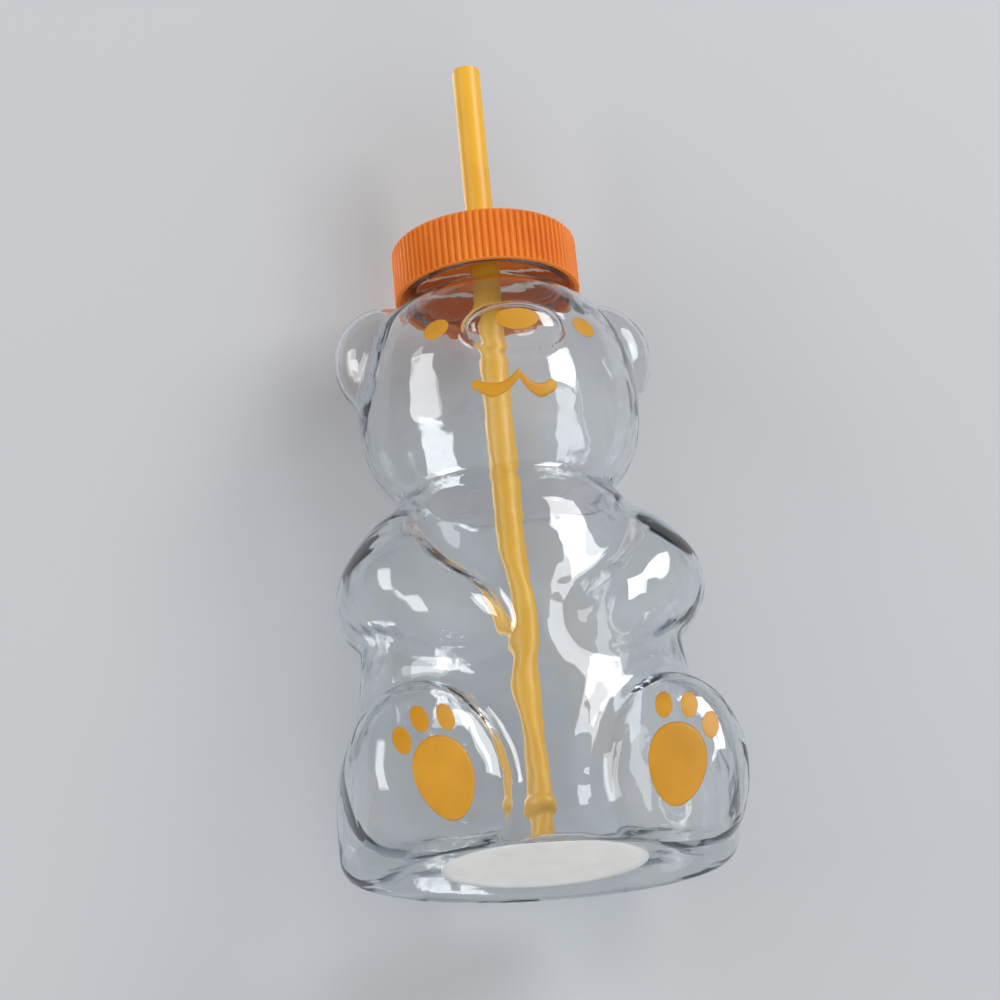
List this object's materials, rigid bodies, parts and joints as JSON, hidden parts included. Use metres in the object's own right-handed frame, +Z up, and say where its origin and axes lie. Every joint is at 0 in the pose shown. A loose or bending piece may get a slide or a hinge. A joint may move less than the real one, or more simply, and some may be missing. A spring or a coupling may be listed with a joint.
{
  "type": "honey bear cup",
  "caption": "Clear drinking cup shaped as a sitting bear, with a ribbed screw lid, a straw that slides through it, printed face and paws, and a blank label under the base.",
  "frame": {"origin": "middle of the outer sizes, in the plane that the cup stands on", "axes": "+Z up through neck, lid and straw; the bear faces -Y; +X is the bear's left"},
  "size_m": [0.1074, 0.0762, 0.2439],
  "materials": {
    "clear_shell": "clear glossy blow-moulded plastic",
    "lid_plastic": "satin moulded orange plastic",
    "washer_foam": "matt white foamed plastic",
    "straw_plastic": "satin yellow extruded plastic",
    "print_ink": "satin printed ink",
    "label_film": "satin white film, blank"
  },
  "bodies": {
    "bottle": {"bottle": "clear_shell", "base_label": "label_film", "nose_print": "print_ink", "mouth_print": "print_ink", "eye_print_left": "print_ink", "paw_print_left": "print_ink", "toe_print_left_inner": "print_ink", "toe_print_left_middle": "print_ink", "toe_print_left_outer": "print_ink", "eye_print_right": "print_ink", "paw_print_right": "print_ink", "toe_print_right_inner": "print_ink", "toe_print_right_middle": "print_ink", "toe_print_right_outer": "print_ink"},
    "washer": {"lid_seal": "washer_foam"},
    "lid": {"lid": "lid_plastic"},
    "straw": {"straw": "straw_plastic"}
  },
  "joints": [
    {"name": "lid_lift", "type": "slide", "parent": "bottle", "child": "washer", "axis": [0, 0, 1], "range_m": [0, 0.0141]},
    {"name": "lid_turn", "type": "hinge", "parent": "washer", "child": "lid", "pos_m": [0, 0.00264, 0.1775], "axis": [0, 0, 1], "range_deg": [0, 1260]},
    {"name": "straw_slide", "type": "slide", "parent": "lid", "child": "straw", "axis": [0, 0, 1], "range_m": [0, 0.1625]}
  ],
  "couplings": [
    {"joint": "lid_lift", "follows": "lid_turn", "m_per_rad": 0.00063662}
  ]
}
